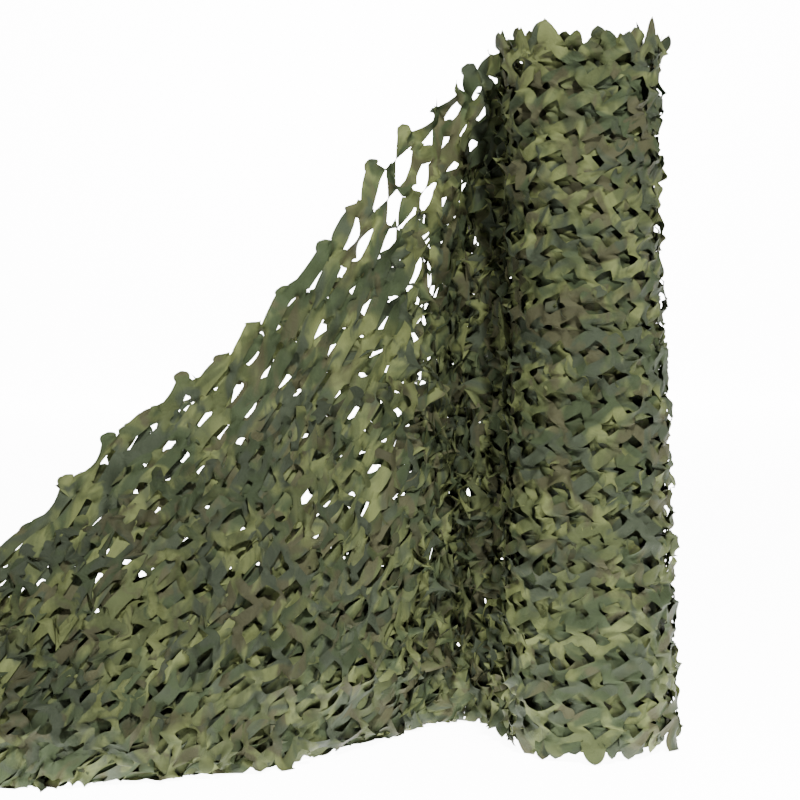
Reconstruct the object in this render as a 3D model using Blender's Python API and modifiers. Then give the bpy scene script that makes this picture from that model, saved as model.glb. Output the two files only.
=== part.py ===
"""A bulk roll of leaf-cut camouflage netting standing on its end, with its loose end drawn out to the left.

Metres, +Z up. The origin is on the floor under the middle of the roll's base.
+X runs from the loose end towards the roll, and +Y runs to the back.
"""
import math

import bmesh
import bpy
import numpy as np

# ---------------------------------------------------------------- driving dimensions (metres)
ROLL_HEIGHT = 1.450          # valley of the rim to the floor
RIM_TIP_HEIGHT = 0.048       # how far a leaf tip stands above the rim's valleys
FOOT_TIP_REACH = 0.016       # how far a leaf tip spreads out over the floor
CELLS_ROUND = 14             # net cells round the outer turn
ROLL_ROWS = 15               # net rows up the roll
ROLL_RIBBON = 0.0175         # half the width of a ribbon on the roll
GAP_DEPTH = 0.016            # how deep a gap in the outer turn looks
LEAF_LIFT = 0.009            # how far single leaves stand proud of the outer turn
TURNS_SHOWN = 4              # turns of the wound end that stand apart on top
TURN_GROOVE = 0.034          # depth between two turns on top
TURN_TEETH = 0.024           # height of the leaf tips along a turn

SEAT_X = -0.166              # the vertical flat that the loose end leaves from, at the floor
SEAT_LEAN = -0.0120          # its lean in X for each metre of height
SEAT_GAP = 0.0003            # clear gap between the two pieces of cloth

SHEET_THICKNESS = 0.0026     # cloth with its creases
CELL_WIDE = 0.0880           # net cell along the cloth of the loose end
CELL_TALL = 0.0490           # and across it
OPEN_RIBBON = 0.0120         # half the width of a ribbon where the cloth hangs open in one leaf
PIERCED_RIBBON = 0.0165      # and where a second leaf behind it narrows the gaps
LEAF_SLANT = 0.19            # how far the upper corner of a gap leans towards the roll, of a cell
LEAF_PEAK = 0.48             # how far it stands above the row, of a cell
PLEAT_DEPTH = 0.022          # the upright pleats beside the roll
PLEAT_WIDE = 0.075           # from one pleat to the next
FOLD_DEPTH = 0.016           # the soft slanting folds farther out
SLUMP_DEPTH = 0.020          # the level folds that the cloth slumps into near the floor
RIDGE_TIP = 0.014            # how far the leaf tips stand out along the upper edge

# The roll's rings, floor to rim: height, lean of the axis in X and Y, radius.
ROLL_RINGS = {
    "height": (0.000, 0.100, 0.400, 0.750, 1.100, 1.350, 1.450),
    "lean_x": (0.000, 0.000, -0.006, -0.013, -0.022, -0.027, -0.030),
    "lean_y": (0.000, 0.002, 0.004, 0.004, 0.000, 0.000, 0.000),
    "radius": (0.170, 0.172, 0.166, 0.160, 0.155, 0.154, 0.158),
}

# The loose end's sections, roll to free end. "along" is the distance along it; "cloth" is the length of
# cloth that is gathered or stretched over that distance; the foot is where the cloth meets the floor; the
# ridge is its hanging upper edge; "belly" is how far it bellies out towards the front; "bend" is the
# radius of the turn at the floor; "tuck" is what lies turned under. Wide gaps reach down from the ridge
# by "open", and narrower ones by "pierced". Below them the cloth is bunched shut.
SECTIONS = {
    "along":   (0.000, 0.060, 0.140, 0.250, 0.380, 0.540, 0.760, 1.000, 1.260, 1.560, 1.880),
    "cloth":   (0.000, 0.060, 0.180, 0.360, 0.550, 0.730, 0.940, 1.150, 1.380, 1.640, 1.936),
    "foot_x":  (-0.160, -0.160, -0.184, -0.245, -0.330, -0.405, -0.600, -0.800, -1.010, -1.260, -1.560),
    "foot_y":  (-0.010, 0.050, 0.130, 0.196, 0.170, 0.060, -0.175, -0.290, -0.375, -0.425, -0.450),
    "ridge_x": (-0.160, -0.160, -0.198, -0.262, -0.345, -0.440, -0.580, -0.745, -0.960, -1.220, -1.530),
    "ridge_y": (-0.010, 0.050, 0.105, 0.125, 0.115, 0.090, 0.050, 0.000, -0.080, -0.160, -0.290),
    "ridge_z": (1.440, 1.440, 1.435, 1.392, 1.310, 1.205, 1.010, 0.835, 0.675, 0.435, 0.130),
    "belly":   (0.000, 0.000, 0.010, 0.018, 0.024, 0.030, 0.046, 0.052, 0.050, 0.040, 0.010),
    "bend":    (0.000, 0.000, 0.000, 0.012, 0.018, 0.022, 0.026, 0.028, 0.026, 0.022, 0.016),
    "tuck":    (0.000, 0.000, 0.000, 0.010, 0.040, 0.070, 0.100, 0.110, 0.110, 0.100, 0.080),
    "pleats":  (0.000, 0.000, 0.500, 1.000, 0.900, 0.450, 0.150, 0.100, 0.100, 0.100, 0.050),
    "open":    (0.000, 0.000, 0.080, 0.200, 0.230, 0.220, 0.090, 0.050, 0.030, 0.020, 0.000),
    "pierced": (0.000, 0.000, 0.180, 0.500, 0.800, 0.930, 0.850, 0.680, 0.540, 0.380, 0.100),
}


# ---------------------------------------------------------------- shared helpers
def smooth_column(table, place, key, name):
    """Read one column of a table at any place, with a smooth (Catmull-Rom) curve through its rows."""
    knots = np.array(table[key])
    values = np.array(table[name])
    slopes = np.gradient(values, knots)
    place = np.clip(place, knots[0], knots[-1])
    row = np.clip(np.searchsorted(knots, place, side="right") - 1, 0, len(knots) - 2)
    span = knots[row + 1] - knots[row]
    t = (place - knots[row]) / span
    start, end = values[row], values[row + 1]
    rise = (2 * t**3 - 3 * t**2 + 1) * start + (3 * t**2 - 2 * t**3) * end
    return rise + (t**3 - 2 * t**2 + t) * span * slopes[row] + (t**3 - t**2) * span * slopes[row + 1]


def uneven(a, b, seed):
    """A smooth uneven value between -1 and 1 over two coordinates."""
    waves = np.sin(a * 1.7 + seed) + np.sin(b * 2.3 + seed * 1.9) + np.sin(a * 1.1 - b * 1.3 + seed * 0.7)
    return waves / 3.0


def leaf_scatter(a, b, seed):
    """A value between -1 and 1 that differs from one leaf to the next."""
    return np.modf(np.abs(np.sin(a * 12.9898 + b * 78.233 + seed) * 43758.5453))[0] * 2.0 - 1.0


def seat_plane(z):
    """The X of the flat on the roll's left side, where the loose end lies against it."""
    return SEAT_X + SEAT_LEAN * z


def flat_net(columns, rows, wide, tall, ribbon, slant, cut, edge_tip=0.0):
    """A flat net: a grid with every second upright dissolved to bricks, slanted to leaf-shaped gaps.

    Each gap is inset by half a ribbon, then either cut out or left as the floor of a hollow. A cell with
    no ribbon width stays whole.
    """
    net = bmesh.new()
    bmesh.ops.create_grid(net, x_segments=2 * columns, y_segments=rows, size=1.0)
    for vert in net.verts:
        vert.co.x = round((vert.co.x + 1.0) * columns)
        vert.co.y = round((vert.co.y + 1.0) * rows / 2.0)
        vert.co.z = 0.0
    uprights = []
    for edge in net.edges:
        first, second = edge.verts
        if first.co.x != second.co.x or len(edge.link_faces) < 2:
            continue
        if (round(first.co.x) + round(min(first.co.y, second.co.y))) % 2:
            uprights.append(edge)
    bmesh.ops.dissolve_edges(net, edges=uprights, use_verts=False)
    tips = net.verts.layers.int.new("tip")
    for vert in net.verts:
        column, row = round(vert.co.x), round(vert.co.y)
        tip = 1 if (column + row) % 2 == 0 else -1
        vert[tips] = tip
        inner = 0 < column < 2 * columns
        vert.co.x = (column * 0.5 + (slant * 0.5 * tip if inner else 0.0)) * wide
        vert.co.y = (row + LEAF_PEAK * tip * 0.5) * tall
        if row == rows and tip > 0:
            vert.co.y += edge_tip
    gaps = []
    for cell in list(net.faces):
        middle = cell.calc_center_median()
        half_width = ribbon(middle.x, middle.y)
        if half_width > 0.0:
            bmesh.ops.inset_individual(net, faces=[cell], thickness=half_width, use_even_offset=True)
            gaps.append(cell)
    if cut:
        bmesh.ops.delete(net, geom=gaps, context="FACES")
    return net, gaps


def finish_object(name, net, collection, material, smooth_angle):
    """Put a bmesh into a named object with its material and smooth shading."""
    mesh = bpy.data.meshes.new(name)
    net.to_mesh(mesh)
    net.free()
    mesh.materials.append(material)
    mesh.shade_smooth()
    mesh.set_sharp_from_angle(angle=math.radians(smooth_angle))
    piece = bpy.data.objects.new(name, mesh)
    collection.objects.link(piece)
    return piece


def cloth_material(name, colour, roughness):
    """A plain cloth finish of one camouflage colour."""
    material = bpy.data.materials.new(name)
    material.use_nodes = True
    shader = material.node_tree.nodes["Principled BSDF"]
    shader.inputs["Base Color"].default_value = (*colour, 1.0)
    shader.inputs["Roughness"].default_value = roughness
    shader.inputs["Metallic"].default_value = 0.0
    return material


# ---------------------------------------------------------------- the wound roll
def roll_place(angle, height, lift):
    """A point of the roll's outer turn. The turn winds in by one ribbon over the way round."""
    radius = smooth_column(ROLL_RINGS, height, "height", "radius")
    radius = radius + 0.005 * (angle / math.tau - 0.5) + lift
    radius = radius + 0.005 * uneven(angle * 2.0, height * 6.0, 1.0)
    x = smooth_column(ROLL_RINGS, height, "height", "lean_x") + radius * np.cos(angle + SEAM_ANGLE)
    y = smooth_column(ROLL_RINGS, height, "height", "lean_y") + radius * np.sin(angle + SEAM_ANGLE)
    return np.maximum(x, seat_plane(height)), y, height


SEAM_ANGLE = math.pi / 2      # where the outer turn closes, at the back of the roll


def build_roll(collection):
    """The wound roll: a netted wall with hollow gaps, a leafy rim, stepped turns on top and a flat base."""
    pitch = math.tau / CELLS_ROUND
    row_tall = ROLL_HEIGHT / ROLL_ROWS
    girth = smooth_column(ROLL_RINGS, 0.75, "height", "radius") * math.tau
    wide = girth / CELLS_ROUND
    net, gaps = flat_net(CELLS_ROUND, ROLL_ROWS, wide, row_tall, lambda across, up: ROLL_RIBBON,
                         LEAF_SLANT, cut=False)
    floors = {vert for gap in gaps for vert in gap.verts}
    tips = net.verts.layers.int["tip"]
    rim, foot = set(), set()
    for vert in net.verts:
        if vert in floors:
            continue
        if vert.co.y < row_tall * 0.2:
            foot.add(vert)
        if vert.co.y > ROLL_HEIGHT - row_tall * 0.2:
            rim.add(vert)
    for vert in net.verts:
        angle = vert.co.x / wide * pitch
        height = min(max(vert.co.y, 0.0), ROLL_HEIGHT)
        turned = angle % math.tau
        lift = LEAF_LIFT * float(leaf_scatter(round(turned / pitch * 2.0) % (2 * CELLS_ROUND),
                                              round(height / row_tall), 3.0))
        if vert in floors:
            lift = lift * 0.4 - GAP_DEPTH
        if vert in foot:
            height = 0.0
            lift = FOOT_TIP_REACH if vert[tips] > 0 else -0.004
        x, y, z = roll_place(turned, height, lift)
        if vert in rim:
            z = ROLL_HEIGHT
            if vert[tips] > 0:
                z += RIM_TIP_HEIGHT * (0.85 + 0.15 * math.sin(angle * 3.0))
        vert.co = (x, y, z)
    bmesh.ops.remove_doubles(net, verts=net.verts, dist=0.0001)
    for edge in net.edges:
        if edge.is_boundary and max(vert.co.z for vert in edge.verts) < row_tall:
            for vert in edge.verts:
                vert.co.z = 0.0
    wind_top(net, tips)
    base = [edge for edge in net.edges if edge.is_boundary]
    bmesh.ops.contextual_create(net, geom=base)
    bmesh.ops.triangulate(net, faces=net.faces)
    bmesh.ops.recalc_face_normals(net, faces=net.faces)
    if net.calc_volume(signed=True) < 0.0:
        bmesh.ops.reverse_faces(net, faces=net.faces)
    material = cloth_material("wound cloth", (0.10, 0.13, 0.06), 0.85)
    return finish_object("netting_roll", net, collection, material, 40)


def wind_top(net, tips):
    """Carry the rim inwards in rings: crests of leaf tips, one for each turn, with grooves between."""
    loop = [edge for edge in net.edges if edge.is_boundary and min(v.co.z for v in edge.verts) > 1.0]
    middle_x = ROLL_RINGS["lean_x"][-1]
    middle_y = ROLL_RINGS["lean_y"][-1]
    reach = {}
    for edge in loop:
        for vert in edge.verts:
            reach[vert] = math.hypot(vert.co.x - middle_x, vert.co.y - middle_y)
    rings = 2 * TURNS_SHOWN
    for ring in range(1, rings + 1):
        made = bmesh.ops.extrude_edge_only(net, edges=loop)["geom"]
        loop = [item for item in made if isinstance(item, bmesh.types.BMEdge)
                and all(v in {w for w in made if isinstance(w, bmesh.types.BMVert)} for v in item.verts)]
        for vert in {v for edge in loop for v in edge.verts}:
            angle = math.atan2(vert.co.y - middle_y, vert.co.x - middle_x)
            turn = (angle - SEAM_ANGLE) % math.tau / math.tau
            spread = ROLL_RINGS["radius"][-1] * (1.0 - (ring - 0.35 + 0.7 * turn) / (rings + 0.8))
            spread += 0.003 * math.sin(angle * 5.0 + ring)
            crest = ring % 2 == 0
            tooth = float(leaf_scatter(round(angle / math.tau * 2 * CELLS_ROUND), ring, 5.0))
            z = ROLL_HEIGHT + (TURN_TEETH * (0.4 + 0.6 * tooth) if crest else -TURN_GROOVE)
            vert.co = (middle_x + spread * math.cos(angle), middle_y + spread * math.sin(angle), z)
    bmesh.ops.contextual_create(net, geom=loop)


# ---------------------------------------------------------------- the loose end
def drape_place(along, down):
    """A point of the hanging cloth: along it from the roll, and down it from its upper edge.

    The cloth falls from the ridge with a belly to the front, turns under at the floor in a quarter
    circle, and lies on the floor for the rest of its length.
    """
    def column(name):
        return smooth_column(SECTIONS, along, "along", name)

    step = 0.02
    ahead_x = smooth_column(SECTIONS, along + step, "along", "foot_x")
    ahead_y = smooth_column(SECTIONS, along + step, "along", "foot_y")
    behind_x = smooth_column(SECTIONS, along - step, "along", "foot_x")
    behind_y = smooth_column(SECTIONS, along - step, "along", "foot_y")
    back = np.stack([ahead_y - behind_y, behind_x - ahead_x], axis=-1)
    back /= np.linalg.norm(back, axis=-1, keepdims=True)
    bend = column("bend")
    foot = np.stack([column("foot_x"), column("foot_y"), bend + SHEET_THICKNESS * 0.75], axis=-1)
    ridge = np.stack([column("ridge_x"), column("ridge_y"), column("ridge_z")], axis=-1)
    fall = np.linalg.norm(ridge - foot, axis=-1)
    share = np.minimum(down / fall, 1.0)
    point = ridge + (foot - ridge) * share[..., None]
    share = np.maximum(share, 0.0)
    fold = column("belly") * np.sin(math.pi * share**1.4)
    slanting = np.sin(14.0 * along + 5.0 * down + 1.5 * np.sin(4.0 * down + 3.0 * along))
    outer = np.clip((along - 0.30) / 0.3, 0.0, 1.0)
    fold = fold + FOLD_DEPTH * slanting * outer * np.sqrt(np.abs(np.sin(math.pi * share)))
    low = np.clip((0.42 - point[..., 2]) / 0.30, 0.0, 1.0) * np.clip(point[..., 2] / 0.06, 0.0, 1.0)
    fold = fold + SLUMP_DEPTH * outer * low * np.sin(30.0 * point[..., 2] + 3.0 * np.sin(3.1 * along))
    pleat = np.cos(math.tau * along / PLEAT_WIDE + 2.0 * np.sin(2.2 * down))
    fold = fold + PLEAT_DEPTH * column("pleats") * pleat * np.clip((1.0 - share) * 12.0, 0.0, 1.0)
    turned = np.clip((down - fall) / np.maximum(bend, 1e-6), 0.0, math.pi / 2)
    lying = np.maximum(down - fall - bend * math.pi / 2, 0.0)
    inward = bend * (1.0 - np.cos(turned)) + lying - fold
    point[..., 0] += back[..., 0] * inward
    point[..., 1] += back[..., 1] * inward
    point[..., 2] -= bend * np.sin(turned)
    limit = seat_plane(point[..., 2]) - SEAT_GAP - SHEET_THICKNESS / 2.0
    point[..., 0] = np.minimum(point[..., 0], limit)
    return point


def drape_length(along):
    """How much cloth hangs, turns and lies at this distance from the roll."""
    def column(name):
        return smooth_column(SECTIONS, along, "along", name)

    bend = column("bend")
    foot = np.stack([column("foot_x"), column("foot_y"), bend + SHEET_THICKNESS * 0.75], axis=-1)
    ridge = np.stack([column("ridge_x"), column("ridge_y"), column("ridge_z")], axis=-1)
    return np.linalg.norm(ridge - foot, axis=-1) + bend * math.pi / 2 + column("tuck")


def along_of(cloth):
    """The distance along the loose end at a length of its gathered cloth."""
    return np.interp(cloth, SECTIONS["cloth"], SECTIONS["along"])


def build_loose_end(collection):
    """The draped sheet: a flat net cut to the hanging shape, laid over the sections and thickened."""
    length = SECTIONS["cloth"][-1]
    columns = round(length / CELL_WIDE)
    wide = length / columns
    rows = round(max(drape_length(np.array(SECTIONS["along"]))) / CELL_TALL)

    def ribbon(across, up):
        """Half a ribbon's width: narrow near the ridge, wider lower down, and nothing where it is shut."""
        along = along_of(across)
        hang = rows * CELL_TALL - up
        if hang < smooth_column(SECTIONS, along, "along", "open"):
            return OPEN_RIBBON
        if hang < smooth_column(SECTIONS, along, "along", "pierced"):
            return PIERCED_RIBBON
        return 0.0

    net, gaps = flat_net(columns, rows, wide, CELL_TALL, ribbon, -LEAF_SLANT, True, RIDGE_TIP)
    outside = []
    for face in net.faces:
        spots = np.array([vert.co[:2] for vert in face.verts])
        hang = rows * CELL_TALL - spots[:, 1]
        if np.any(hang > drape_length(along_of(spots[:, 0])) + 0.004):
            outside.append(face)
    bmesh.ops.delete(net, geom=outside, context="FACES")
    spots = np.array([vert.co[:2] for vert in net.verts])
    placed = drape_place(along_of(spots[:, 0]), rows * CELL_TALL - spots[:, 1])
    for vert, place in zip(net.verts, placed):
        vert.co = place
    sheet = finish_object("netting_loose_end", net, collection,
                          cloth_material("loose cloth", (0.16, 0.19, 0.08), 0.80), 60)
    thick = sheet.modifiers.new("thickness", "SOLIDIFY")
    thick.thickness = SHEET_THICKNESS
    thick.offset = 0.0
    return sheet


# ---------------------------------------------------------------- the model
def main():
    for old in list(bpy.data.objects):
        bpy.data.objects.remove(old, do_unlink=True)
    collection = bpy.data.collections.new("camouflage_netting")
    bpy.context.scene.collection.children.link(collection)
    build_roll(collection)
    build_loose_end(collection)


main()
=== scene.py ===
import math

import bpy
import numpy as np
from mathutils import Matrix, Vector


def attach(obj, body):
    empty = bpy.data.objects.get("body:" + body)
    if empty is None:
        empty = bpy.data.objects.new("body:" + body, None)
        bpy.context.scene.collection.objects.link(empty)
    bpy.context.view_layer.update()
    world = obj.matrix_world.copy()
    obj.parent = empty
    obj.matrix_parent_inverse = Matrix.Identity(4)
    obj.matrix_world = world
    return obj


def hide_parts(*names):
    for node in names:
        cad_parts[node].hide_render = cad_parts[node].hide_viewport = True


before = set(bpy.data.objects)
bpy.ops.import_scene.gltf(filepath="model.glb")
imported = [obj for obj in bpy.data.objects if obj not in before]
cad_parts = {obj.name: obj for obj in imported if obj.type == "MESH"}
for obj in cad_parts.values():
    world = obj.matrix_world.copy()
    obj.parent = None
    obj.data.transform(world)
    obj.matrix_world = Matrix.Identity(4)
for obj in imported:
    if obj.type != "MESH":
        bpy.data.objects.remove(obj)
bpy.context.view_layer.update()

# how the cloth is cut: a cell is one gap with its rising ribbon, falling ribbon and link
cut = {
    "cellWide": 0.088,        # metres along the cloth
    "cellTall": 0.0490,       # and across it
    "lean": 0.0170,           # the upper joints stand this far ahead of the lower ones
    "rise": 0.0280,           # and this far above them
    "stations": (0.22, 0.50, 0.78),             # places along a ribbon, between its ends
    "swell": (0.0004, 0.0004, -0.0004, 0.0050, 0.0050),     # how far the edges of each kind swell
    "swellSpread": 0.0016,    # metres, from ribbon to ribbon
    "tipHalf": 0.023,         # half width of a leaf tip at its root
    "upperTip": (-0.003, 0.036), "lowerTip": (0.003, -0.028),       # along and across, root to point
    "tipShares": (0.7, 1.25), "tipSlide": 0.007,          # how much they differ in size and place
    "cornerReach": 1.9,       # most a corner may lie from its joint, in half widths
    "cornerSoft": 0.04,       # keeps corners near between ribbons that run on in one line
    "fullerFrom": 0.84, "fullerOver": 0.10,     # shares of the cloth's length where it gets fuller
    "creased": 0.55,          # share of the bends that are sharp
    "bendCrease": 0.8, "cornerCrease": 0.85,    # how sharp those are, and the corners
    "lowest": 0.002,          # metres over the floor
}


# Cloth cut flat. Joint (k, j) lies k/2 cells along and j cells up, moved by half of (lean, rise) forwards if
# k + j is even and backwards if it is odd. Neighbours in a row are joined by rising and falling ribbons, and
# each even joint by a link to the odd one above it. The free edges end in leaf tips.
# Kinds of ribbon: 0 rising, 1 falling, 2 link, 3 upper tip, 4 lower tip. "fuller" widens the ribbons at the
# end of the cloth that meets the roll.
def cutNet(columns, rows, seed, tipSize, halfWidths, blunt, fuller=0.0):
    rng = np.random.default_rng(seed)
    perRow = 2 * columns + 1
    row, column = [a.ravel() for a in np.meshgrid(np.arange(rows + 1), np.arange(perRow), indexing="ij")]
    even = (row + column) % 2 == 0
    count = len(row)
    base = np.stack([column * cut["cellWide"] / 2, row * cut["cellTall"]], 1)
    flat = base + np.where(even, 0.5, -0.5)[:, None] * np.array([cut["lean"], cut["rise"]])

    inRow = column < perRow - 1
    begins = [np.flatnonzero(a) for a in
              (inRow & ~even, inRow & even, even & (row < rows), even & (row == rows), ~even & (row == 0))]
    tips = np.concatenate(begins[3:])
    tipOut = np.concatenate([np.tile(cut["upperTip"], (len(begins[3]), 1)),
                             np.tile(cut["lowerTip"], (len(begins[4]), 1))])
    tipOut = tipOut * tipSize * rng.uniform(*cut["tipShares"], (len(tips), 1))
    tipOut = tipOut + rng.uniform(-cut["tipSlide"], cut["tipSlide"], (len(tips), 2))
    kind = np.repeat(np.arange(5), [len(a) for a in begins])
    begin = np.concatenate(begins)
    finish = begin + np.array([1, 1, perRow, 0, 0])[kind]
    finish[kind > 2] = count + np.arange(len(tips))

    # the far end of the three ribbons that leave each joint: back, forward, upright; -1 where none does
    far = np.full((count, 3), -1)
    far[finish[kind < 2], 0] = begin[kind < 2]
    far[begin[kind < 2], 1] = finish[kind < 2]
    far[begin[kind > 1], 2] = finish[kind > 1]
    far[finish[kind == 2], 2] = begin[kind == 2]
    half = np.array(halfWidths)
    border = (even & (row == rows)) | (~even & (row == 0))
    halves = np.stack([np.where(even, half[0], half[1]), np.where(even, half[1], half[0]),
                       np.where(border, cut["tipHalf"] * tipSize, half[2])], 1)
    nearEnd = np.clip((column / perRow - cut["fullerFrom"]) / cut["fullerOver"], 0.0, 1.0)
    halves = halves * (1.0 + fuller * nearEnd)[:, None]

    # corner 0 of a joint lies between its back and forward ribbons, 1 between upright and back, 2 between
    # forward and upright; these are each ribbon's left and right corner at its first end and at its last
    firstEven = even[begin]
    upward = (kind == 2) | (kind == 3)
    ends = np.stack([
        np.where(kind < 2, np.where(firstEven, 2, 0), np.where(upward, 1, 2)),
        np.where(kind < 2, np.where(firstEven, 0, 2), np.where(upward, 2, 1)),
        np.where(kind < 2, np.where(firstEven, 0, 1), 1),
        np.where(kind < 2, np.where(firstEven, 1, 0), 2)], 1)
    made = count + len(tips)
    ids = made + 3 * np.stack([begin, begin, finish, finish], 1) + ends
    ids[kind > 2, 2:] = finish[kind > 2, None]
    made = made + 3 * count
    innerIds = made + np.arange(len(kind) * 9).reshape(-1, 3, 3)       # ribbon, station, left to right
    lines = np.concatenate([np.stack([ids[:, 0], begin, ids[:, 1]], 1)[:, None], innerIds,
                            np.stack([ids[:, 2], finish, ids[:, 3]], 1)[:, None]], 1)
    a, b = lines[:, :-1], lines[:, 1:]
    faces = np.concatenate([np.stack([a[..., 1], b[..., 1], b[..., 0], a[..., 0]], -1).reshape(-1, 4),
                            np.stack([a[..., 2], b[..., 2], b[..., 1], a[..., 1]], -1).reshape(-1, 4)])
    sharp = rng.uniform(0, 1, (len(kind), 3)) < cut["creased"]
    sharp[:, 1] = False
    swell = np.array(cut["swell"])[kind][:, None] + cut["swellSpread"] * rng.normal(0, 1, (len(kind), 2))
    net = {"rng": rng, "base": base, "even": even, "count": count, "columns": columns,
           "tips": tips, "tipOut": tipOut, "kind": kind, "begin": begin, "finish": finish, "far": far,
           "halves": halves, "cornerIds": ids, "faces": faces, "bends": innerIds[sharp],
           "blunt": np.where(kind > 2, blunt, 0.0), "swell": swell}
    joints = np.concatenate([flat, flat[tips] + tipOut])
    still = np.zeros(len(kind))
    joints = np.concatenate([joints, np.zeros((len(joints), 1))], 1)
    net["flat"] = spanRibbons(net, joints, np.tile([[0, 0, 1.0]], (count, 1)), still, still, still)[:, :2]
    return net


# Vectors at length 1: each over its own length.
def unit(a):
    return a / np.maximum(np.linalg.norm(a, axis=-1, keepdims=True), 1e-9)


# Where two ribbons leave a joint side by side their edges meet at a corner: the point in the joint's own
# plane that is a half width from each middle line. It is the answer of two equations in that plane.
def cornersOf(net, joints, normal):
    count = net["count"]
    middle = joints[:count]
    away = joints[net["far"]] - middle[:, None]
    away = away - normal[:, None] * np.sum(away * normal[:, None], -1, keepdims=True)
    missing = net["far"] < 0
    away = np.where(missing[:, :, None], -away[:, [1, 0, 2]], away)
    away = unit(away)
    first = unit(np.cross(normal, away[:, 2]))
    second = np.cross(normal, first)
    x, y = np.einsum("jrc,jc->jr", away, first), np.einsum("jrc,jc->jr", away, second)
    corners = []
    for a, b in ((0, 1), (2, 0), (1, 2)):
        # counted against the clock at an even joint, and with it at an odd one
        side = np.where(net["even"], 1.0, -1.0)
        rows = np.stack([np.stack([-y[:, a], x[:, a]], 1) * side[:, None],
                         np.stack([y[:, b], -x[:, b]], 1) * side[:, None]], 1)
        wanted = np.stack([net["halves"][:, a], net["halves"][:, b]], 1)
        square = np.einsum("jki,jkl->jil", rows, rows) + cut["cornerSoft"] * np.eye(2)
        answer = np.linalg.solve(square, np.einsum("jki,jk->ji", rows, wanted)[:, :, None])[:, :, 0]
        size = np.linalg.norm(answer, axis=1, keepdims=True)
        most = cut["cornerReach"] * wanted.max(1, keepdims=True)
        answer = answer * np.minimum(1.0, most / np.maximum(size, 1e-9))
        corners.append(middle + first * answer[:, :1] + second * answer[:, 1:])
    return np.stack(corners, 1).reshape(-1, 3)


# A ribbon spans its two joints. Its edges run straight from corner to corner and swell a little, and those
# of a tip also part evenly towards its blunt end. Its middle line bows out, it turns about that line, and
# it curls across, each by a sine along it.
def spanRibbons(net, joints, normal, own, bow, curl):
    corners = cornersOf(net, joints, normal)
    known = np.concatenate([joints, corners])
    begin, finish, kind = net["begin"], net["finish"], net["kind"]
    last = np.where(kind > 2, begin, finish)
    d = unit(joints[finish] - joints[begin])
    n = normal[begin] + normal[last]
    n = unit(n - d * np.sum(n * d, 1, keepdims=True))
    s = np.cross(n, d)
    ends = known[net["cornerIds"]]
    inner = np.zeros((len(kind), 3, 3, 3))
    for station, t in enumerate(cut["stations"]):
        wave = np.sin(np.pi * t)
        middle = joints[begin] * (1 - t) + joints[finish] * t + n * (bow * wave)[:, None]
        for which, sign in ((0, 1.0), (2, -1.0)):
            edge = ends[:, which // 2] * (1 - t) + ends[:, 2 + which // 2] * t
            across = edge - (joints[begin] * (1 - t) + joints[finish] * t)
            swollen = net["swell"][:, which // 2] * wave + net["blunt"] * t
            wide = np.sum(across * s, 1) + sign * swollen
            rest = across - s * np.sum(across * s, 1, keepdims=True)
            turned = s * (wide * np.cos(own * wave))[:, None] + n * (wide * np.sin(own * wave))[:, None]
            inner[:, station, which] = middle + rest + turned + n * (curl * wave)[:, None]
        inner[:, station, 1] = middle
    return np.concatenate([known, inner.reshape(-1, 3)])


settle = {
    "step": 0.008,            # metres between the places that give the surface's directions
    "lowHeight": 1.5, "farOut": (1.7, 3.0),     # how fast a place counts as low, or as near the free end
    "waves": ((29, 11), (-19, 47), (-9, 33), (41, 23)),     # radians a metre, along and across
    "edgeFree": 0.15,         # how freely the upper edge moves
    "lengthShares": (0.88, 1.12),               # spread of the ribbons' lengths
    "times": 30,              # how often the lengths of the ribbons are put right
    "draw": 0.24, "push": 0.05,                 # share of a wrong length put right each time
    "home": 0.02,             # share of the way back to its own place, each time
    "tipStand": 0.006,        # how far a tip stands off the surface
    "slackShares": (-0.6, 1.0),                 # of a ribbon's slack, that it bows back or to the front
}


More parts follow.
